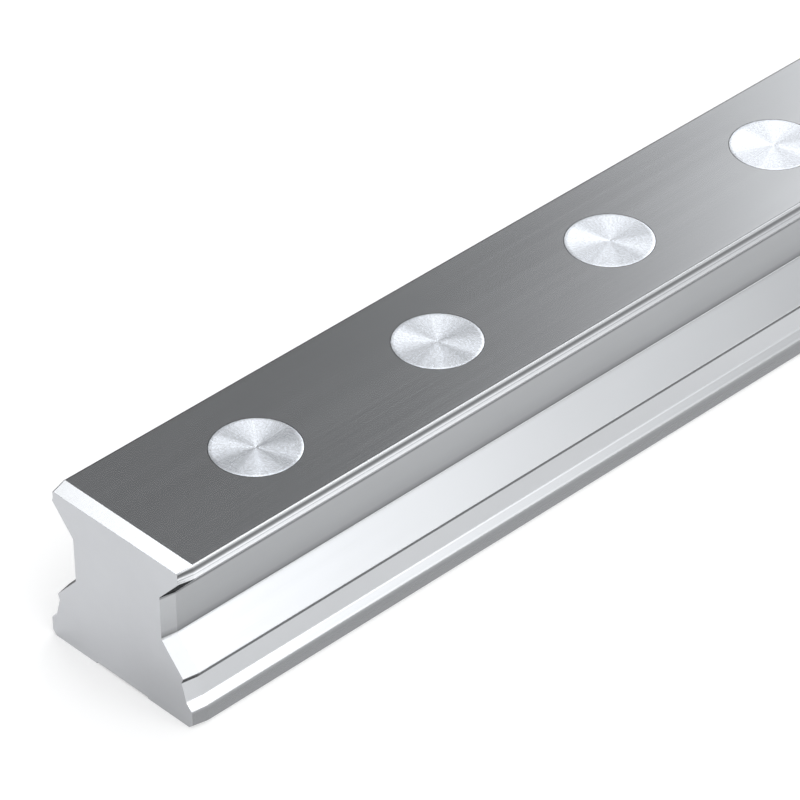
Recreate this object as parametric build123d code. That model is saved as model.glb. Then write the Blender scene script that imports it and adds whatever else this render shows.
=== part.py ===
from build123d import *
import math
import os

os.makedirs("parts", exist_ok=True)

# A hardened and ground roller guide rail, with a steel plug pressed into each
# counterbored mounting hole. It lies along Y, centred on X = 0 and Y = 0, and
# its underside is at Z = 0.

# Length and mounting holes
HOLE_COUNT = 12
HOLE_PITCH = 52.5
HOLE_END_DISTANCE = 39.25
BOLT_HOLE_DIAMETER = 14.0
BOLT_HOLE_CHAMFER = 0.4
COUNTERBORE_DIAMETER = 20.0
COUNTERBORE_DEPTH = 17.0

# Plugs, seated flush with the top face
PLUG_THICKNESS = 4.0
PLUG_RADIAL_CLEARANCE = 0.01
PLUG_EDGE_CHAMFER = 0.15

# Base of the section, with a 45 degree step up from its reference sides
RAIL_HEIGHT = 40.0
BASE_WIDTH = 45.0
BASE_CHAMFER = 0.8
REFERENCE_SIDE_HEIGHT = 4.8
BASE_STEP = 1.65
RELIEF_WIDTH = 16.0
RELIEF_DEPTH = 0.4

# Ledges, the outer edges of the lower races, set in from the reference sides
# and undercut all along
LEDGE_HEIGHT = 12.1
LEDGE_SET_IN = 2.2
UNDERCUT_HEIGHT = 1.4
UNDERCUT_DEPTH = 0.65

# Head, whose lips are the outer edges of the upper races, with a shallow
# groove along each side for the clip of a cover strip
LIP_DEPTH = 3.35
LIP_SET_IN = 2.35
HEAD_SET_IN = 0.15
CLIP_GROOVE_DEPTH = 0.3

# Roller races, which slope in from the ledges and the lips to the waist
RACE_ANGLE = 48.0
WAIST_WIDTH = 27.9

# Rounding of the long edges
TOP_EDGE_ROUNDING = 0.4
LIP_ROUNDING = 0.35
WAIST_ROUNDING = 0.4
BASE_EDGE_ROUNDING = 0.2

# Lead-in ground on both ends, over which the top and sides draw in
LEAD_IN_LENGTH = 3.8
LEAD_IN_INSET = 0.65

RAIL_LENGTH = 2 * HOLE_END_DISTANCE + (HOLE_COUNT - 1) * HOLE_PITCH


def section_corners():
    """Corners of the right half of the section, from the underside up to the top face."""
    race_slope = math.tan(math.radians(RACE_ANGLE))
    side = BASE_WIDTH / 2
    waist = WAIST_WIDTH / 2
    ledge = side - LEDGE_SET_IN
    lip = side - LIP_SET_IN
    lip_height = RAIL_HEIGHT - LIP_DEPTH
    return {
        "underside": (side - BASE_CHAMFER, 0.0),
        "side foot": (side, BASE_CHAMFER),
        "side top": (side, REFERENCE_SIDE_HEIGHT),
        "step top": (side - BASE_STEP, REFERENCE_SIDE_HEIGHT + BASE_STEP),
        "undercut": (ledge - UNDERCUT_DEPTH, LEDGE_HEIGHT - UNDERCUT_HEIGHT),
        "ledge": (ledge, LEDGE_HEIGHT),
        "waist root": (waist, LEDGE_HEIGHT + (ledge - waist) * race_slope),
        "waist top": (waist, lip_height - (lip - waist) * race_slope),
        "lip": (lip, lip_height),
        "head": (lip - HEAD_SET_IN, RAIL_HEIGHT),
    }


def drawn_in(corners, inset):
    """The same corners with every face but the underside moved inwards by inset."""
    points = [Vector(0, 0)] + [Vector(*c) for c in corners.values()] + [Vector(0, RAIL_HEIGHT)]
    lines = []
    for i, (start, end) in enumerate(zip(points, points[1:])):
        along = (end - start).normalized()
        inwards = Vector(-along.Y, along.X)
        shift = inwards * (inset if i > 0 else 0.0)
        lines.append((start + shift, along))
    moved = {}
    for name, (p, u), (q, v) in zip(corners, lines, lines[1:]):
        cross = u.X * v.Y - u.Y * v.X
        t = ((q - p).X * v.Y - (q - p).Y * v.X) / cross
        moved[name] = tuple(p + u * t)[:2]
    return moved


def section(inset=0.0):
    """The rail's section in the XZ plane, drawn in by inset at the ends of the rail."""
    corners = drawn_in(section_corners(), inset)
    points = list(corners.values())
    lip, head = points[-2], points[-1]
    groove = Vector((lip[0] + head[0]) / 2 - CLIP_GROOVE_DEPTH, (lip[1] + head[1]) / 2)
    with BuildSketch() as sketch:
        with BuildLine():
            Polyline((0, 0), *points[:-1])
            ThreePointArc(lip, groove, head)
            Line(head, (0, head[1]))
            mirror(about=Plane.YZ)
        make_face()
        roundings = {
            "head": TOP_EDGE_ROUNDING,
            "lip": LIP_ROUNDING,
            "waist top": WAIST_ROUNDING,
            "waist root": WAIST_ROUNDING,
            "ledge": BASE_EDGE_ROUNDING,
            "undercut": BASE_EDGE_ROUNDING,
            "step top": BASE_EDGE_ROUNDING,
            "side top": BASE_EDGE_ROUNDING,
        }
        for name, radius in roundings.items():
            x, z = corners[name]
            for side in (-1, 1):
                fillet(sketch.vertices().sort_by_distance((side * x, z))[0], radius)
    return sketch.sketch


def across(y):
    """The plane across the rail at y, with its own Y pointing up."""
    return Plane(origin=(0, y, 0), x_dir=(1, 0, 0), z_dir=(0, -1, 0))


def hole_places():
    """Y of each mounting hole."""
    first = -RAIL_LENGTH / 2 + HOLE_END_DISTANCE
    return [first + i * HOLE_PITCH for i in range(HOLE_COUNT)]


def turned(*profile):
    """A solid turned about Z from a profile of (radius, z) points."""
    face = make_face(Polyline(*[(r, 0, z) for r, z in profile], close=True))
    return revolve(face, Axis.Z)


def hole_cutter():
    """The tool that cuts one mounting hole: chamfered bolt hole and counterbore."""
    bolt_r = BOLT_HOLE_DIAMETER / 2
    bore_r = COUNTERBORE_DIAMETER / 2
    shoulder = RAIL_HEIGHT - COUNTERBORE_DEPTH
    clear = 1.0
    return turned(
        (0, -clear),
        (bolt_r + BOLT_HOLE_CHAMFER, -clear),
        (bolt_r + BOLT_HOLE_CHAMFER, RELIEF_DEPTH),
        (bolt_r, RELIEF_DEPTH + BOLT_HOLE_CHAMFER),
        (bolt_r, shoulder),
        (bore_r, shoulder),
        (bore_r, RAIL_HEIGHT + clear),
        (0, RAIL_HEIGHT + clear),
    )


def guide_rail():
    """The rail: one bar with its lead-ins, underside relief and mounting holes."""
    end = RAIL_LENGTH / 2
    full = section()
    drawn = section(LEAD_IN_INSET)
    stations = [
        across(-end) * drawn,
        across(-end + LEAD_IN_LENGTH) * full,
        across(end - LEAD_IN_LENGTH) * full,
        across(end) * drawn,
    ]
    bar = loft(stations, ruled=True)
    bar -= Box(RELIEF_WIDTH, 2 * RAIL_LENGTH, 2 * RELIEF_DEPTH)
    cutter = hole_cutter()
    return bar - [Pos(0, y, 0) * cutter for y in hole_places()]


def hole_plug():
    """One plug: a turned disc with a chamfered upper edge, flush with the top face."""
    radius = COUNTERBORE_DIAMETER / 2 - PLUG_RADIAL_CLEARANCE
    bottom = RAIL_HEIGHT - PLUG_THICKNESS
    return turned(
        (0, bottom),
        (radius, bottom),
        (radius, RAIL_HEIGHT - PLUG_EDGE_CHAMFER),
        (radius - PLUG_EDGE_CHAMFER, RAIL_HEIGHT),
        (0, RAIL_HEIGHT),
    )


rail = guide_rail()
export_step(rail, "parts/guide_rail.step")

plug = hole_plug()
for number, y in enumerate(hole_places(), start=1):
    export_step(Pos(0, y, 0) * plug, f"parts/hole_plug_{number:02d}.step")

print(f"length {RAIL_LENGTH:.2f} mm, section {section().area:.1f} mm2, rail volume {rail.volume:.0f} mm3")
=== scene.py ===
import math

import bpy
import numpy as np
from mathutils import Matrix, Vector


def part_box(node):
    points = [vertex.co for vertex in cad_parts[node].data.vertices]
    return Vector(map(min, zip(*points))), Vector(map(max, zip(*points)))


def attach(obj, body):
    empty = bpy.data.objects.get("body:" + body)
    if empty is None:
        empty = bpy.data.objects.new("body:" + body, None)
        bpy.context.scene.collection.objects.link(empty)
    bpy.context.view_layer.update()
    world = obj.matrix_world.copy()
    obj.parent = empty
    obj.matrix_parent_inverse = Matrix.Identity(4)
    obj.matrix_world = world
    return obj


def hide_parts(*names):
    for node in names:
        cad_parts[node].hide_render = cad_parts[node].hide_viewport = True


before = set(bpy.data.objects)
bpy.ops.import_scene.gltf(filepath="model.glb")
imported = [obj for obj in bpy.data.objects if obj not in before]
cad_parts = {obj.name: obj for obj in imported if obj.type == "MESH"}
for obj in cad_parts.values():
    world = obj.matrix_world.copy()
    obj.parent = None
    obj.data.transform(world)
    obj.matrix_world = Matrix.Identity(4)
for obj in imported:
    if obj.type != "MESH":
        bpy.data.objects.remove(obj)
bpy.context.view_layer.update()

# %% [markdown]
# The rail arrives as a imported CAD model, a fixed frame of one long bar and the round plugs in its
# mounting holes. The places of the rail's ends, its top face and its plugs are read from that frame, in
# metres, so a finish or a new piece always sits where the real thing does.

MM = 0.001
rail_low, rail_high = (np.array(corner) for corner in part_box("guide_rail"))
rail_end_y = float(rail_high[1])
rail_top_z = float(rail_high[2])
plug_names = sorted(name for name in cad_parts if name.startswith("hole_plug"))
plug_boxes = {name: [np.array(corner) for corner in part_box(name)] for name in plug_names}
plug_places = {name: (low + high) / 2 for name, (low, high) in plug_boxes.items()}
first_plug_y = float(plug_places[plug_names[0]][1])
plug_pitch = float(plug_places[plug_names[1]][1]) - first_plug_y
plug_low, plug_high = plug_boxes[plug_names[0]]
plug_radius = float(plug_high[0] - plug_low[0]) / 2
print("rail size in mm", ((rail_high - rail_low) / MM).round(2))
print("plugs", len(plug_names), "at a pitch of", round(plug_pitch / MM, 2), "mm")

# %% [markdown]
# The photograph looks along the rail from its near right end, well above it, with a long lens: the
# rail's edges stay almost parallel. A camera is a place, a point it aims at, a small roll and a focal
# length. All four came from matching the hole pitch and the long edges of the rail.

# %% Camera
CAMERA_PLACE = (643.60 * MM, -856.07 * MM, 699.85 * MM)
CAMERA_AIM = (9.38 * MM, -256.33 * MM, 40.0 * MM)
CAMERA_ROLL = math.radians(-0.833)
FOCAL_PIXELS = 5220.5
PICTURE_SIDE = 800
SENSOR_WIDTH = 36.0
NEAREST_SEEN = 0.05
FARTHEST_SEEN = 50.0


def add_camera():
    """A camera at its place, turned to aim at a point and rolled about its own axis."""
    data = bpy.data.cameras.new("camera")
    data.sensor_width = SENSOR_WIDTH
    data.lens = FOCAL_PIXELS / PICTURE_SIDE * SENSOR_WIDTH
    data.clip_start = NEAREST_SEEN
    data.clip_end = FARTHEST_SEEN
    camera = bpy.data.objects.new("camera", data)
    bpy.context.scene.collection.objects.link(camera)
    place = Vector(CAMERA_PLACE)
    turn = (Vector(CAMERA_AIM) - place).to_track_quat("-Z", "Y").to_matrix().to_4x4()
    camera.matrix_world = Matrix.Translation(place) @ turn @ Matrix.Rotation(CAMERA_ROLL, 4, "Z")
    bpy.context.scene.camera = camera
    return camera


camera = add_camera()
print("lens", round(camera.data.lens, 1), "mm")

# %% [markdown]
# Materials are small networks of nodes. These helpers add a node, set its sockets and join it to
# others, so that each finish below reads as a short recipe: a smooth step from one value to another,
# a sum, a product, and a blend between two values by a mask. A noise is worth little by itself, so one
# helper lets it swing a value a little about its middle.

# %% Node helpers
WHITE = (1.0, 1.0, 1.0, 1.0)


def new_material(name):
    """An empty node material with its output and a principled shader, ready for a recipe."""
    material = bpy.data.materials.new(name)
    material.use_nodes = True
    nodes = material.node_tree.nodes
    nodes.clear()
    output = nodes.new("ShaderNodeOutputMaterial")
    shader = nodes.new("ShaderNodeBsdfPrincipled")
    material.node_tree.links.new(shader.outputs["BSDF"], output.inputs["Surface"])
    return material, shader


def node(tree, kind, inputs=None, **settings):
    """Adds a node; inputs maps a socket's name or number to a value or to another node's socket."""
    made = tree.nodes.new(kind)
    for key, value in settings.items():
        setattr(made, key, value)
    for key, value in (inputs or {}).items():
        if isinstance(value, bpy.types.NodeSocket):
            tree.links.new(value, made.inputs[key])
        else:
            made.inputs[key].default_value = value
    return made


def math_node(tree, operation, first, second=0.0, clamp=False):
    """One arithmetic step on two values."""
    made = node(tree, "ShaderNodeMath", {0: first, 1: second}, operation=operation, use_clamp=clamp)
    return made.outputs[0]


def total(tree, first, second):
    """Two values added."""
    return math_node(tree, "ADD", first, second)


def product(tree, first, second):
    """Two values multiplied: one mask narrows another, or a shade darkens a tint."""
    return math_node(tree, "MULTIPLY", first, second)


def step(tree, value, start, stop, low=0.0, high=1.0):
    """Goes smoothly from low to high while value goes from start to stop, up or down."""
    made = node(tree, "ShaderNodeMapRange", {0: value, 1: start, 2: stop, 3: low, 4: high},
                interpolation_type="SMOOTHSTEP")
    return made.outputs[0]


def swing(tree, noise, middle, reach, span=0.2):
    """Lets a noise move a value by up to reach to either side of its middle.

    A noise stays near a half. At span below or above a half, the value is at its lowest or highest.
    """
    return step(tree, noise, 0.5 - span, 0.5 + span, middle - reach, middle + reach)


def blend_value(tree, mask, under, over):
    """Goes from under to over as the mask goes from 0 to 1."""
    return node(tree, "ShaderNodeMix", {0: mask, 2: under, 3: over}, data_type="FLOAT").outputs[0]


def blend_color(tree, mask, under, over):
    """Goes from one colour to another as the mask goes from 0 to 1."""
    made = node(tree, "ShaderNodeMix", {0: mask, 6: under, 7: over}, data_type="RGBA")
    return made.outputs[2]


def shaded_color(tree, color, shade):
    """A colour times a shade."""
    made = node(tree, "ShaderNodeVectorMath", {0: color, "Scale": shade}, operation="SCALE")
    return made.outputs["Vector"]


def band(tree, value, limits, edges):
    """One between two limits, falling smoothly to nothing over the width of each edge outside them."""
    rise = step(tree, value, limits[0] - edges[0], limits[0])
    fall = step(tree, value, limits[1], limits[1] + edges[1], 1.0, 0.0)
    return product(tree, rise, fall)


print("node helpers ready in Blender", bpy.app.version_string)

# %% [markdown]
# Ground steel is a mirror with fine scratches all one way. The rail's long faces were ground along its
# length, so their marks are a noise pattern that is very fine across the rail and drawn out hundreds
# of times along it. The same pattern serves every long face, because it lives in the space of the
# object, not on one surface. What changes from face to face follows the height above the underside,
# as on the drawing of the section: the two races are finished finest, the waist between them and the
# narrow clip groove are only drawn, and the waist stays rougher and a little darker. The tint by height
# also holds painted light: painted highlights along the edges, and painted shade in the undercut below
# the race, on the clip groove's upper wall, under the lip and at the waist's roots.

# %% The section's finishes
# Height above the underside in mm, and the share of the bright steel colour there. A share above one
# is a painted highlight along an edge, and the lowest shares are painted shade: in the undercut, on the
# clip groove's upper wall, under the lip and at the waist's roots. Where one part of the section ends
# and the next begins, both are at one, so that the three can be multiplied.
FOOT_TINT_AND_PAINTED_LIGHT = (
    (0.0, 0.46), (3.90, 0.43), (4.72, 0.57),
    (4.86, 1.0), (5.02, 1.10), (5.15, 1.0), (6.15, 1.0), (6.35, 1.28), (6.45, 1.0),
    (6.60, 0.80), (10.60, 0.80),
    (10.75, 0.16), (11.30, 0.13), (11.90, 0.18),
    (12.10, 1.03), (12.40, 1.0),
)
WAIST_TINT_AND_PAINTED_SHADE = (
    (18.60, 1.0), (18.90, 0.94), (19.10, 0.87), (19.22, 0.71),
    (19.35, 0.28), (19.90, 0.39), (21.00, 0.515), (24.40, 0.565), (29.25, 0.585),
    (29.50, 0.33), (30.00, 0.33), (30.40, 1.0),
)
HEAD_TINT_AND_PAINTED_LIGHT = (
    (36.20, 1.0), (36.45, 0.40), (36.62, 0.49), (36.76, 0.75),
    (37.17, 0.64), (37.50, 0.62), (37.83, 0.69), (38.17, 0.47),
    (38.50, 0.32), (38.85, 0.235), (39.18, 0.27), (39.52, 0.66), (39.64, 0.68),
    (39.75, 0.82), (39.85, 1.12), (39.90, 1.35), (39.94, 1.20), (39.98, 0.90), (39.995, 0.80),
    (40.0, 1.0),
)
# The same for the lead-in, as a share of what the rest of the rail has at that height: painted shade
# on its races and a painted highlight on its waist.
LEAD_IN_PAINTED_LIGHT = (
    (12.0, 1.0), (12.2, 0.66), (18.9, 0.66), (19.3, 1.20), (29.9, 1.20), (30.2, 1.0),
)
# Height above the underside in mm, and the roughness there.
SECTION_ROUGHNESS = (
    (4.80, 0.28), (5.00, 0.20),
    (19.20, 0.20), (19.50, 0.32), (29.60, 0.32), (29.90, 0.20),
    (39.80, 0.20), (39.95, 0.15),
)


def height_ramp(tree, z, stops):
    """A value that follows the height above the underside, straight between the given stops.

    Below the first stop and above the last one it keeps their values.
    """
    low = stops[0][0]
    span = stops[-1][0] - low
    share = math_node(tree, "DIVIDE", math_node(tree, "SUBTRACT", z, low * MM), span * MM)
    made = node(tree, "ShaderNodeValToRGB", {0: share})
    ramp = made.color_ramp
    ramp.interpolation = "LINEAR"
    while len(ramp.elements) < len(stops):
        ramp.elements.new(0.5)
    for element, (height, value) in zip(ramp.elements, stops):
        element.position = (height - low) / span
        element.color = (value, value, value, 1.0)
    return node(tree, "ShaderNodeSeparateColor", {0: made.outputs[0]}).outputs[0]


tinted_heights = len(FOOT_TINT_AND_PAINTED_LIGHT + WAIST_TINT_AND_PAINTED_SHADE + HEAD_TINT_AND_PAINTED_LIGHT)
print("tints at", tinted_heights, "heights, roughness at", len(SECTION_ROUGHNESS))

# %% [markdown]
# Every pattern starts from where a point is on the object and which way its face looks. From those come
# noise drawn out into streaks, and the way outwards from the nearest plug.

# %% Patterns
FINE_DETAIL = 4.0
BROAD_DETAIL = 3.0
FINER_LAYERS_KEEP = 0.6


def place_axes(tree):
    """The object's own coordinates in metres, split into x, y and z."""
    coordinates = node(tree, "ShaderNodeTexCoord")
    parts = node(tree, "ShaderNodeSeparateXYZ", {0: coordinates.outputs["Object"]})
    return parts.outputs["X"], parts.outputs["Y"], parts.outputs["Z"]


def facing_axes(tree):
    """The direction a surface faces, split into x, y and z."""
    geometry = node(tree, "ShaderNodeNewGeometry")
    parts = node(tree, "ShaderNodeSeparateXYZ", {0: geometry.outputs["True Normal"]})
    return parts.outputs["X"], parts.outputs["Y"], parts.outputs["Z"]


def streaks(tree, axes, scales, detail=BROAD_DETAIL):
    """Noise stretched along an axis: each coordinate is multiplied by its own scale first."""
    scaled = [product(tree, value, scale) for value, scale in zip(axes, scales)]
    place = node(tree, "ShaderNodeCombineXYZ", dict(enumerate(scaled))).outputs[0]
    sockets = {"Vector": place, "Scale": 1.0, "Detail": detail, "Roughness": FINER_LAYERS_KEEP}
    return node(tree, "ShaderNodeTexNoise", sockets).outputs["Fac"]


def out_from_plug(tree, axes):
    """The way outwards from the nearest plug's centre, and its length.

    The plugs stand in one line at an even pitch, so what is left of y after division by the pitch is the
    place beside any plug.
    """
    half_pitch = plug_pitch / 2
    shifted = math_node(tree, "SUBTRACT", axes[1], first_plug_y - half_pitch)
    wrapped = math_node(tree, "FLOORED_MODULO", shifted, plug_pitch)
    off_centre = math_node(tree, "SUBTRACT", wrapped, half_pitch)
    outward = node(tree, "ShaderNodeCombineXYZ", {0: axes[0], 1: off_centre, 2: 0.0}).outputs[0]
    radius = node(tree, "ShaderNodeVectorMath", {0: outward}, operation="LENGTH").outputs["Value"]
    return outward, radius


print("plugs counted off from y", round(first_plug_y / MM, 2), "mm")

# %% [markdown]
# Some places need more than the height. The short lead-in at each end is a separate cut: it has a
# painted highlight on top and on its waist, painted shade on its races and under its lip, and its sides
# get a black edge tint, painted shade at glancing angles. The ends themselves were sawn and ground
# across, so their marks run the other way, and they have painted shade towards the bottom on the side
# of positive x. A painted line of shade runs along the top face's borders, and a dark hairline runs
# round each plug, where it meets the rail. Each such place is a mask, which is one there and nothing
# elsewhere, found from the height, the distance along or across, or the way a face looks.

# %% Places on the rail
LEAD_IN_LENGTH = 3.8 * MM
LEAD_IN_BORDER = 0.02 * MM
# A face counts more and more as an end, as level or as under the lip while the share of its direction
# along that axis goes from the first value to the second.
END_FACING = (0.80, 0.95)
TOP_FACING = (0.990, 0.998)
LEAD_TOP_FACING = (0.95, 0.98)
UNDER_LIP_FACING = (-0.10, -0.35)
# Distances in metres between which a mask fades in, counted from the middle or the underside.
ABOVE_UNDERCUT = (12.0 * MM, 12.2 * MM)
# The end's painted shade grows towards positive x and towards the underside.
END_SHADE_ACROSS = (-10.0 * MM, 20.0 * MM)
END_SHADE_DOWN = (22.0 * MM, 2.0 * MM)
# The top face's painted line of shade lies this far inside its edge, and each plug's hairline this far
# outside its rim. The hairline also fades with depth below the top face.
TOP_EDGE_X = 19.48 * MM
TOP_EDGE_SHADE_BAND = (0.20 * MM, 0.08 * MM)
JOINT_LINE = (0.22 * MM, 0.02 * MM)
JOINT_BELOW_TOP = (0.3 * MM, 0.1 * MM)

lead_start = rail_end_y - LEAD_IN_LENGTH


def rail_masks(tree, axes):
    """Masks from 0 to 1 for the places on the rail that have a finish or a painted shade of their own.
    """
    x, y, z = axes
    facing_y, facing_z = facing_axes(tree)[1:]
    on_end = step(tree, math_node(tree, "ABSOLUTE", facing_y), *END_FACING)
    along = math_node(tree, "ABSOLUTE", y)
    on_lead = step(tree, along, lead_start - LEAD_IN_BORDER, lead_start + LEAD_IN_BORDER)
    rail_level = step(tree, facing_z, *TOP_FACING)
    level = blend_value(tree, on_lead, rail_level, step(tree, facing_z, *LEAD_TOP_FACING))
    lead_face = math_node(tree, "SUBTRACT", on_lead, on_end, clamp=True)
    lead_side = product(tree, lead_face, math_node(tree, "SUBTRACT", 1.0, level))

    off_lead = step(tree, on_lead, 0.0, 0.5, 1.0, 0.0)
    aside = math_node(tree, "ABSOLUTE", x)
    edge_shade_band = step(tree, aside, TOP_EDGE_X - TOP_EDGE_SHADE_BAND[0], TOP_EDGE_X - TOP_EDGE_SHADE_BAND[1])
    end_shade_across = step(tree, x, *END_SHADE_ACROSS)
    radius = out_from_plug(tree, axes)[1]
    beside_plug = step(tree, radius, plug_radius + JOINT_LINE[0], plug_radius + JOINT_LINE[1])
    near_top = step(tree, z, rail_top_z - JOINT_BELOW_TOP[0], rail_top_z - JOINT_BELOW_TOP[1])
    return {
        "end": on_end,
        "off end": math_node(tree, "SUBTRACT", 1.0, on_end),
        "lead-in": on_lead,
        "level": level,
        # Places of painted shade: under the lead-in's lip, on its sides at glancing angles, along the
        # top edge and towards one lower corner of each end.
        "under lead-in lip": product(tree, lead_side, step(tree, facing_z, *UNDER_LIP_FACING)),
        "painted shade on lead-in sides": product(tree, lead_side, step(tree, z, *ABOVE_UNDERCUT)),
        "top edge": product(tree, edge_shade_band, off_lead),
        "painted end shade": product(tree, end_shade_across, step(tree, z, *END_SHADE_DOWN)),
        "joint": product(tree, beside_plug, near_top),
    }


print("lead-ins start", round(lead_start / MM, 2), "mm either side of the middle")

# %% [markdown]
# The steel is one metal. Its roughness comes from the height, with a little more or less in the marks.
# Its colour is a bright grey times a tint, which also comes from the height, with painted highlights
# and painted shade in it, and which darkens in the masked places: with painted shade, and with a dark
# joint round each plug. The lead-in's sides get a black edge tint in the shader, a painted shade that
# darkens them only where they are seen at a glancing angle. The relief has two parts: the fine marks,
# and a lean of the clip groove's lower flank, which looks further up on the real rail than on the solid
# and so catches another part of the room.

# %% Rail steel
STEEL_COLOUR = (0.652, 0.664, 0.682, 1.0)
END_COLOUR = (0.532, 0.541, 0.560, 1.0)
# A black edge tint: painted shade on the lead-in's sides at glancing angles.
LEAD_IN_SHADED_EDGE_COLOUR = (0.02, 0.02, 0.02, 1.0)
LEAD_IN_ROUGHNESS = 0.24
END_ROUGHNESS = 0.34
MARKS_ROUGHNESS = 0.02
MARKS_SPAN = 0.25
BROAD_ROUGHNESS = 0.006
# Painted highlight on the lead-in's top; painted shade under its lip, along the top face's borders and
# towards one lower corner of each end.
LEAD_IN_TOP_PAINTED_HIGHLIGHT = 1.45
LEAD_IN_UNDER_PAINTED_SHADE = 0.55
TOP_EDGE_PAINTED_SHADE = 0.45
END_CORNER_PAINTED_SHADE = 0.80
JOINT_SHADE = 0.15
CLOUD_SHADE = 0.015
# Noise cells for each metre, across, along and up.
GRINDING_SCALES = (5200.0, 9.0, 5200.0)
BROAD_SCALES = (700.0, 3.0, 700.0)
END_SCALES = (120.0, 2500.0, 3600.0)
CLOUD_SCALES = (60.0, 22.0, 60.0)
GRINDING_DEPTH = 0.0009 * MM
# Where each part of the groove's lower flank starts and stops, and how much further up than the solid's
# flank it looks, as a slope.
FLANK_LEAN = ((36.78 * MM, 37.50 * MM, 0.22), (37.50 * MM, 38.25 * MM, 0.36))
EDGE_ROUNDING = 0.07 * MM
EDGE_SAMPLES = 6


def darkened(tree, mask, shade):
    """One where the mask is nothing, and the shade where it is one, eased at both ends."""
    return step(tree, mask, 0.0, 1.0, 1.0, shade)


def rail_roughness(tree, axes, masks, marks):
    """The section's roughness, even on the lead-ins and the ends, and swung by the marks."""
    broad_marks = streaks(tree, axes, BROAD_SCALES)
    roughness = height_ramp(tree, axes[2], SECTION_ROUGHNESS)
    roughness = blend_value(tree, masks["lead-in"], roughness, LEAD_IN_ROUGHNESS)
    roughness = blend_value(tree, masks["end"], roughness, END_ROUGHNESS)
    roughness = total(tree, roughness, swing(tree, marks, 0.0, MARKS_ROUGHNESS, MARKS_SPAN))
    return total(tree, roughness, swing(tree, broad_marks, 0.0, BROAD_ROUGHNESS))


def rail_colour(tree, axes, masks):
    """The steel's colour times the section's tint with its painted light, the masked places' painted
    shade and dark joints, and a faint cloud.
    """
    z = axes[2]
    # The section's tint: painted highlights along edges, and painted shade in the undercut, on the
    # groove's upper wall, under the lip and at the waist's roots.
    tint = product(tree, height_ramp(tree, z, FOOT_TINT_AND_PAINTED_LIGHT), height_ramp(tree, z, WAIST_TINT_AND_PAINTED_SHADE))
    tint = product(tree, tint, height_ramp(tree, z, HEAD_TINT_AND_PAINTED_LIGHT))
    # Painted shade along the top face's borders.
    top_painted_shade = darkened(tree, masks["top edge"], TOP_EDGE_PAINTED_SHADE)
    tint = blend_value(tree, masks["level"], tint, top_painted_shade)
    # Painted light on the lead-in: a painted highlight on top and on the waist, painted shade on the
    # races.
    lead_painted_light = height_ramp(tree, z, LEAD_IN_PAINTED_LIGHT)
    lead_painted_light = blend_value(tree, masks["level"], lead_painted_light, LEAD_IN_TOP_PAINTED_HIGHLIGHT)
    tint = product(tree, tint, blend_value(tree, masks["lead-in"], 1.0, lead_painted_light))
    # Painted shade on the lead-in's sides under the lip.
    under_lip_painted_shade = blend_value(tree, masks["under lead-in lip"], 1.0, LEAD_IN_UNDER_PAINTED_SHADE)
    tint = product(tree, tint, under_lip_painted_shade)
    # Painted shade on each end, darker towards the bottom on the side of positive x.
    end_painted_shade = darkened(tree, masks["painted end shade"], END_CORNER_PAINTED_SHADE)
    tint = blend_value(tree, masks["end"], tint, end_painted_shade)
    tint = blend_value(tree, masks["joint"], tint, JOINT_SHADE)
    cloud = streaks(tree, axes, CLOUD_SCALES)
    tint = product(tree, tint, swing(tree, cloud, 1.0, CLOUD_SHADE))
    colour = blend_color(tree, masks["end"], STEEL_COLOUR, END_COLOUR)
    return shaded_color(tree, colour, tint)


def rail_relief(tree, z, masks, marks):
    """Fine marks and the flank's lean, over edges that are rounded a little.

    Over a flank the relief's height falls by its lean times the way up, so the shading looks further up.
    """
    height = product(tree, marks, GRINDING_DEPTH)
    for low, high, lean in FLANK_LEAN:
        fall = node(tree, "ShaderNodeMapRange", {0: z, 1: low, 2: high, 3: 0.0, 4: lean * (low - high)})
        height = total(tree, height, product(tree, fall.outputs[0], masks["off end"]))
    edges = node(tree, "ShaderNodeBevel", {"Radius": EDGE_ROUNDING}, samples=EDGE_SAMPLES)
    sockets = {"Height": height, "Distance": 1.0, "Strength": 1.0, "Normal": edges.outputs[0]}
    return node(tree, "ShaderNodeBump", sockets).outputs[0]


def rail_steel():
    """Ground steel: a bright metal whose roughness, tint and fine relief change from face to face."""
    material, shader = new_material("ground_rail_steel")
    tree = material.node_tree
    axes = place_axes(tree)
    masks = rail_masks(tree, axes)
    long_marks = streaks(tree, axes, GRINDING_SCALES, FINE_DETAIL)
    end_marks = streaks(tree, axes, END_SCALES, FINE_DETAIL)
    marks = blend_value(tree, masks["end"], long_marks, end_marks)
    made = {
        "Roughness": rail_roughness(tree, axes, masks, marks),
        "Base Color": rail_colour(tree, axes, masks),
        # Painted shade: a black edge tint darkens the lead-in's sides at glancing angles.
        "Specular Tint": blend_color(tree, masks["painted shade on lead-in sides"], WHITE, LEAD_IN_SHADED_EDGE_COLOUR),
        "Normal": rail_relief(tree, axes[2], masks, marks),
    }
    for socket, value in made.items():
        tree.links.new(value, shader.inputs[socket])
    shader.inputs["Metallic"].default_value = 1.0
    return material


steel = rail_steel()
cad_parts["guide_rail"].material_slots[0].material = steel
print("rail steel nodes", len(steel.node_tree.nodes))

# %% [markdown]
# Each plug is a steel disc faced on a lathe and pressed flush into its counterbore. The tool winds in
# from the rim and leaves rings too fine to see one by one, yet they spread the reflections outwards
# from the centre: that makes the bright and dark fans that turn with the light. The disc is a surface
# of revolution, a profile turned about the plug's axis. A turned primitive with a bevel would need
# more edits for the same rounded rim, small centre pip and shallow dish.

# %% Turned plugs
PLUG_SEGMENTS = 128
PIP_RADIUS = 0.16 * MM
PIP_DEPTH = 0.01 * MM
DISH_DEPTH = 0.06 * MM
RIM_ROUNDING = 0.07 * MM
RIM_RINGS = 4
FOOT_CHAMFER = 0.3 * MM
TOP_RINGS = 14
SHARP_ANGLE = math.radians(35)


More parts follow.
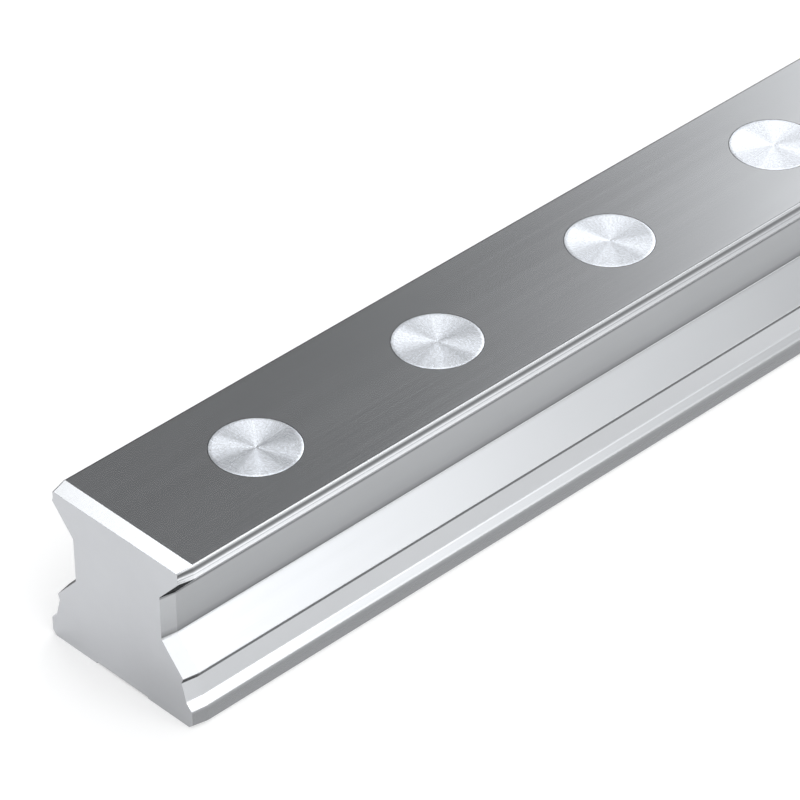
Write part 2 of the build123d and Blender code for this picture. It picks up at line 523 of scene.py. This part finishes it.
def plug_profile(radius, top, bottom):
    """Half a plug's section, from the centre of its face over the rim to the centre underneath.

    The face drops by the dish depth times one minus the squared share of the radius, the pip is a small
    cone at the centre, and the rim is a quarter of a circle.
    """
    face_radius = radius - RIM_ROUNDING
    face = np.linspace(PIP_RADIUS, face_radius, TOP_RINGS)
    face_z = top - DISH_DEPTH * (1.0 - (face / face_radius) ** 2)
    turn = np.linspace(0.0, math.pi / 2, RIM_RINGS + 1)[1:]
    rim = face_radius + RIM_ROUNDING * np.sin(turn)
    rim_z = top - RIM_ROUNDING * (1.0 - np.cos(turn))
    foot = np.array([radius, radius - FOOT_CHAMFER])
    foot_z = np.array([bottom + FOOT_CHAMFER, bottom])
    radii = np.concatenate([face, rim, foot])
    heights = np.concatenate([face_z, rim_z, foot_z])
    return radii, heights, face_z[0] - PIP_DEPTH, bottom


def turned_mesh(name, profile, centre):
    """Turns a profile about an upright axis: x = radius cos angle, y = radius sin angle.

    The two poles are single points, closed by fans of triangles, and every face points outwards.
    """
    radii, heights, top_pole, bottom_pole = profile
    angle = np.arange(PLUG_SEGMENTS) * (2 * math.pi / PLUG_SEGMENTS)
    ring_x = centre[0] + np.outer(radii, np.cos(angle))
    ring_y = centre[1] + np.outer(radii, np.sin(angle))
    ring_z = np.repeat(heights[:, None], PLUG_SEGMENTS, axis=1)
    points = np.stack([ring_x, ring_y, ring_z], axis=-1).reshape(-1, 3)
    poles = np.array([[centre[0], centre[1], top_pole], [centre[0], centre[1], bottom_pole]])
    points = np.concatenate([points, poles])

    here = np.arange(PLUG_SEGMENTS)
    after = (here + 1) % PLUG_SEGMENTS
    start = np.arange(len(radii) - 1)[:, None] * PLUG_SEGMENTS
    below = start + PLUG_SEGMENTS
    quads = np.stack([start + here, below + here, below + after, start + after], axis=-1).reshape(-1, 4)
    last = (len(radii) - 1) * PLUG_SEGMENTS
    top_pole_index = len(points) - 2
    bottom_pole_index = len(points) - 1
    top_fan = np.stack([np.full_like(here, top_pole_index), here, after], axis=-1)
    bottom_fan = np.stack([np.full_like(here, bottom_pole_index), last + after, last + here], axis=-1)
    mesh = bpy.data.meshes.new(name)
    mesh.from_pydata(points, [], quads.tolist() + top_fan.tolist() + bottom_fan.tolist())
    mesh.shade_smooth()
    mesh.set_sharp_from_angle(angle=SHARP_ANGLE)
    mesh.validate()
    return mesh


profile = plug_profile(plug_radius, float(plug_high[2]), float(plug_low[2]))
print("plug profile of", len(profile[0]), "rings, out to", round(float(profile[0].max()) / MM, 2), "mm")

# %% [markdown]
# The plugs' finish needs to know which way is outwards from each plug's own centre. That direction is
# the shader's tangent, and a strong anisotropy along it spreads the gloss across the rings. The rings'
# relief also rises a little towards the rim, so each part of the face looks slightly inwards, which sets
# the bright fans apart. A fine mottle and broad patches keep the metal from looking too clean.

# %% Turned steel
PLUG_COLOUR = (0.812, 0.842, 0.892)
PLUG_ROUGHNESS = 0.25
PLUG_ANISOTROPY = 1.0
RING_PITCH = 0.16 * MM
RING_DEPTH = 0.0002 * MM
RING_LEAN = 0.018
MOTTLE_SCALES = (1900.0, 1900.0, 1900.0)
MOTTLE_SHADE = 0.07
MOTTLE_SPAN = 0.15
PATCH_SCALES = (420.0, 420.0, 420.0)
SPOTS_ROUGHNESS = 0.008
# Noise cells across the unit circle of directions, and for each metre outwards.
FAN_SCALES = (7.0, 7.0, 70.0)
FAN_SHADE = 0.04


def plug_steel():
    """Lathe-turned steel: radial tangent, strong anisotropy, fine rings and a faint mottle."""
    material, shader = new_material("turned_plug_steel")
    tree = material.node_tree
    axes = place_axes(tree)
    outward, radius = out_from_plug(tree, axes)
    tangent = node(tree, "ShaderNodeVectorMath", {0: outward}, operation="NORMALIZE").outputs["Vector"]

    mottle = streaks(tree, axes, MOTTLE_SCALES)
    patches = streaks(tree, axes, PATCH_SCALES)
    roughness = swing(tree, mottle, PLUG_ROUGHNESS, SPOTS_ROUGHNESS)
    roughness = total(tree, roughness, swing(tree, patches, 0.0, SPOTS_ROUGHNESS))

    around = node(tree, "ShaderNodeSeparateXYZ", {0: tangent})
    fan_axes = (around.outputs["X"], around.outputs["Y"], radius)
    fans = streaks(tree, fan_axes, FAN_SCALES)
    shade = swing(tree, mottle, 1.0, MOTTLE_SHADE, MOTTLE_SPAN)
    shade = product(tree, shade, swing(tree, fans, 1.0, FAN_SHADE))

    rings = math_node(tree, "SINE", product(tree, radius, 2 * math.pi / RING_PITCH))
    height = product(tree, rings, RING_DEPTH)
    height = total(tree, height, product(tree, radius, RING_LEAN))
    relief = node(tree, "ShaderNodeBump", {"Height": height, "Distance": 1.0, "Strength": 1.0})
    made = {
        "Tangent": tangent,
        "Roughness": roughness,
        "Base Color": shaded_color(tree, PLUG_COLOUR, shade),
        "Normal": relief.outputs[0],
    }
    for socket, value in made.items():
        tree.links.new(value, shader.inputs[socket])
    shader.inputs["Metallic"].default_value = 1.0
    shader.inputs["Anisotropic"].default_value = PLUG_ANISOTROPY
    return material


turned_steel = plug_steel()
for name in plug_names:
    mesh = turned_mesh("turned_" + name, profile, plug_places[name])
    mesh.materials.append(turned_steel)
    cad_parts[name].material_slots[0].material = turned_steel
    piece = bpy.data.objects.new("turned_" + name, mesh)
    bpy.context.scene.collection.objects.link(piece)
    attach(piece, "root")
    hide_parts(name)
print("turned plugs", len(plug_names), "with", len(mesh.polygons), "faces each")

# %% [markdown]
# The rail lies on a plain pale floor that reads as white. A floor lit only by the studio would be a
# light grey, so it is given a little light of its own towards the camera and towards reflections; the
# contact shadow under the rail stays.

# %% Floor
FLOOR_SIDE = 12.0
FLOOR_COLOUR = (0.62, 0.62, 0.62, 1.0)
FLOOR_ROUGHNESS = 0.9
FLOOR_GLOW = 0.47


def add_floor():
    """A wide level square under the rail."""
    mesh = bpy.data.meshes.new("floor")
    half = FLOOR_SIDE / 2
    corners = [(-half, -half, 0.0), (half, -half, 0.0), (half, half, 0.0), (-half, half, 0.0)]
    mesh.from_pydata(corners, [], [(0, 1, 2, 3)])
    material, shader = new_material("pale_floor")
    tree = material.node_tree
    shader.inputs["Base Color"].default_value = FLOOR_COLOUR
    shader.inputs["Roughness"].default_value = FLOOR_ROUGHNESS
    shader.inputs["Specular IOR Level"].default_value = 0.0
    shader.inputs["Emission Color"].default_value = WHITE
    path = node(tree, "ShaderNodeLightPath")
    seen = total(tree, path.outputs["Is Camera Ray"], path.outputs["Is Glossy Ray"])
    seen = math_node(tree, "ADD", seen, path.outputs["Is Transmission Ray"], clamp=True)
    glow = product(tree, seen, FLOOR_GLOW)
    tree.links.new(glow, shader.inputs["Emission Strength"])
    mesh.materials.append(material)
    floor = bpy.data.objects.new("floor", mesh)
    bpy.context.scene.collection.objects.link(floor)


add_floor()
print("floor", FLOOR_SIDE, "m wide")

# %% [markdown]
# Bare metal has almost no colour of its own: what it shows is the room. So the studio is built with
# care. It is a sky of soft boxes, each a patch of bright or dark between two azimuths and two
# elevations with a soft border. Azimuth is counted in degrees from the far end of the rail towards its
# right side. A dark gap over the left shoulder makes the top face grey, and a panel behind the far end
# brightens it with distance. Strips high on the left and right draw the plugs' bright fans. A soft box
# on the right lights the races, and a low one there gives the lip's side its light stripe. A pale band
# all round the horizon gives every low view a white background.

# %% Studio
HORIZON_LEVEL = 1.0
HORIZON_TOP = (6.0, 16.0)
ROOM_LEVEL = 0.45
ROOM_COLOUR = (0.985, 0.992, 1.0, 1.0)
# Each soft box: left and right azimuth, its side edges' widths, lowest and highest elevation, the
# widths of those edges, all in degrees, and its brightness. Later ones lie over earlier ones.
SOFT_BOXES = {
    "ceiling": ((-180.0, 180.0), (1.0, 1.0), (80.0, 91.0), (20.0, 1.0), 0.75),
    "front_fill": ((140.0, 180.0), (30.0, 1.0), (18.0, 62.0), (10.0, 14.0), 0.9),
    "left_gap": ((-150.0, -78.0), (12.0, 12.0), (20.0, 62.0), (8.0, 8.0), 0.14),
    "far_gap": ((-120.0, -48.5), (9.7, 9.7), (8.4, 46.3), (5.0, 5.0), 0.17),
    "high_strip": ((-65.0, -33.5), (8.0, 9.0), (50.2, 86.0), (6.0, 6.0), 2.55),
    "back_panel": ((-30.4, -6.0), (14.8, 8.5), (14.0, 43.5), (8.0, 8.0), 3.05),
    "right_top": ((5.0, 62.0), (15.0, 20.0), (50.0, 66.0), (6.0, 8.0), 1.6),
    "right_box": ((60.0, 115.0), (20.0, 35.0), (34.6, 62.0), (13.0, 16.0), 2.6),
    "right_low": ((58.0, 120.0), (8.0, 35.0), (-10.0, 10.0), (1.0, 8.0), 2.6),
}


def add_studio():
    """A world whose brightness depends on azimuth and elevation alone."""
    world = bpy.data.worlds.new("studio")
    bpy.context.scene.world = world
    world.use_nodes = True
    tree = world.node_tree
    coordinates = node(tree, "ShaderNodeTexCoord")
    parts = node(tree, "ShaderNodeSeparateXYZ", {0: coordinates.outputs["Generated"]})
    azimuth = math_node(tree, "ARCTAN2", parts.outputs["X"], parts.outputs["Y"])
    azimuth = math_node(tree, "DEGREES", azimuth)
    elevation = math_node(tree, "DEGREES", math_node(tree, "ARCSINE", parts.outputs["Z"]))
    level = step(tree, elevation, *HORIZON_TOP, HORIZON_LEVEL, ROOM_LEVEL)
    for sides, side_edges, heights, height_edges, bright in SOFT_BOXES.values():
        across = band(tree, azimuth, sides, side_edges)
        mask = product(tree, across, band(tree, elevation, heights, height_edges))
        level = blend_value(tree, mask, level, bright)
    tree.links.new(level, tree.nodes["Background"].inputs["Strength"])
    tree.nodes["Background"].inputs["Color"].default_value = ROOM_COLOUR


add_studio()
bpy.context.scene.view_settings.view_transform = "Standard"
print("studio of", len(SOFT_BOXES), "soft boxes")
